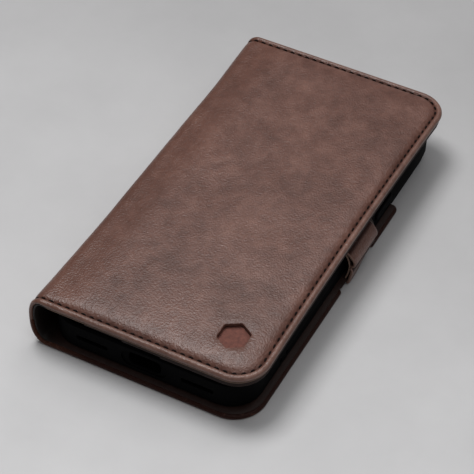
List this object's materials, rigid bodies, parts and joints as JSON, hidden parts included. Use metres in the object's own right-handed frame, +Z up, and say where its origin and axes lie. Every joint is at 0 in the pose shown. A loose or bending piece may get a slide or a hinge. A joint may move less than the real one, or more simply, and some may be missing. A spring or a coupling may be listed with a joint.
{
  "type": "folio phone wallet case",
  "caption": "Leather folio phone wallet with a padded stitched cover, wrap-round spine, moulded black phone tray, inner card pockets and a magnetic side strap.",
  "frame": {"origin": "middle of the footprint of the closed wallet, on the surface that its back cover lies on", "axes": "+X from the spine to the opening edge, +Y to the phone's top end, +Z up through the front cover"},
  "size_m": [0.082, 0.155, 0.022],
  "materials": {
    "cover_leather": "satin brown leather with a fine grain and a pull-up sheen",
    "lining_leather": "smooth blackish brown lining",
    "inlay_leather": "reddish brown, matte",
    "tray_plastic": "matte black moulded elastomer",
    "board": "grey-brown fibre board",
    "foam": "dark foam",
    "thread": "dark brown waxed thread",
    "magnet_metal": "plated"
  },
  "bodies": {
    "back": {"back_leather": "cover_leather", "back_board": "board", "back_lining": "lining_leather", "back_stitching": "thread", "phone_tray": "tray_plastic"},
    "spine": {"spine_leather": "cover_leather", "spine_lining": "lining_leather", "spine_stitching_bottom": "thread", "spine_stitching_top": "thread"},
    "front": {"front_leather": "cover_leather", "front_padding": "foam", "front_board": "board", "keeper_plate": "magnet_metal", "emblem_inlay": "inlay_leather", "front_lining": "lining_leather", "cash_pocket": "lining_leather", "card_pocket_1": "lining_leather", "card_pocket_2": "lining_leather", "card_pocket_3": "lining_leather", "front_stitching": "thread"},
    "strap": {"strap_leather": "cover_leather", "strap_lining": "lining_leather"},
    "strap_tip": {"strap_tip_leather": "cover_leather", "strap_tip_lining": "lining_leather", "strap_magnet": "magnet_metal"},
    "power_button": {"power_button": "tray_plastic"},
    "volume_up_button": {"volume_up_button": "tray_plastic"},
    "volume_down_button": {"volume_down_button": "tray_plastic"}
  },
  "joints": [
    {"name": "spine_fold", "type": "hinge", "parent": "back", "child": "spine", "pos_m": [-0.0404, 0, 0.0003], "axis": [0, -1, 0], "range_deg": [0, 88]},
    {"name": "cover_fold", "type": "hinge", "parent": "spine", "child": "front", "pos_m": [-0.0404, 0, 0.0208], "axis": [0, -1, 0], "range_deg": [0, 88]},
    {"name": "strap_fold", "type": "hinge", "parent": "back", "child": "strap", "pos_m": [0.0392, 0.0048, 0.0025], "axis": [0, 1, 0], "range_deg": [0, 88]},
    {"name": "strap_tip_fold", "type": "hinge", "parent": "strap", "child": "strap_tip", "pos_m": [0.0392, 0.0048, 0.0152], "axis": [0, 1, 0], "range_deg": [0, 80]},
    {"name": "power_button_slide", "type": "slide", "parent": "back", "child": "power_button", "axis": [-1, 0, 0], "range_m": [0, 0.0005], "stiffness_N_per_m": 800},
    {"name": "volume_up_slide", "type": "slide", "parent": "back", "child": "volume_up_button", "axis": [1, 0, 0], "range_m": [0, 0.0005], "stiffness_N_per_m": 800},
    {"name": "volume_down_slide", "type": "slide", "parent": "back", "child": "volume_down_button", "axis": [1, 0, 0], "range_m": [0, 0.0005], "stiffness_N_per_m": 800}
  ],
  "couplings": [
    {"joint": "cover_fold", "follows": "spine_fold", "ratio": 1},
    {"joint": "strap_fold", "follows": "spine_fold", "ratio": 1},
    {"joint": "strap_tip_fold", "follows": "spine_fold", "ratio": 0.9}
  ]
}
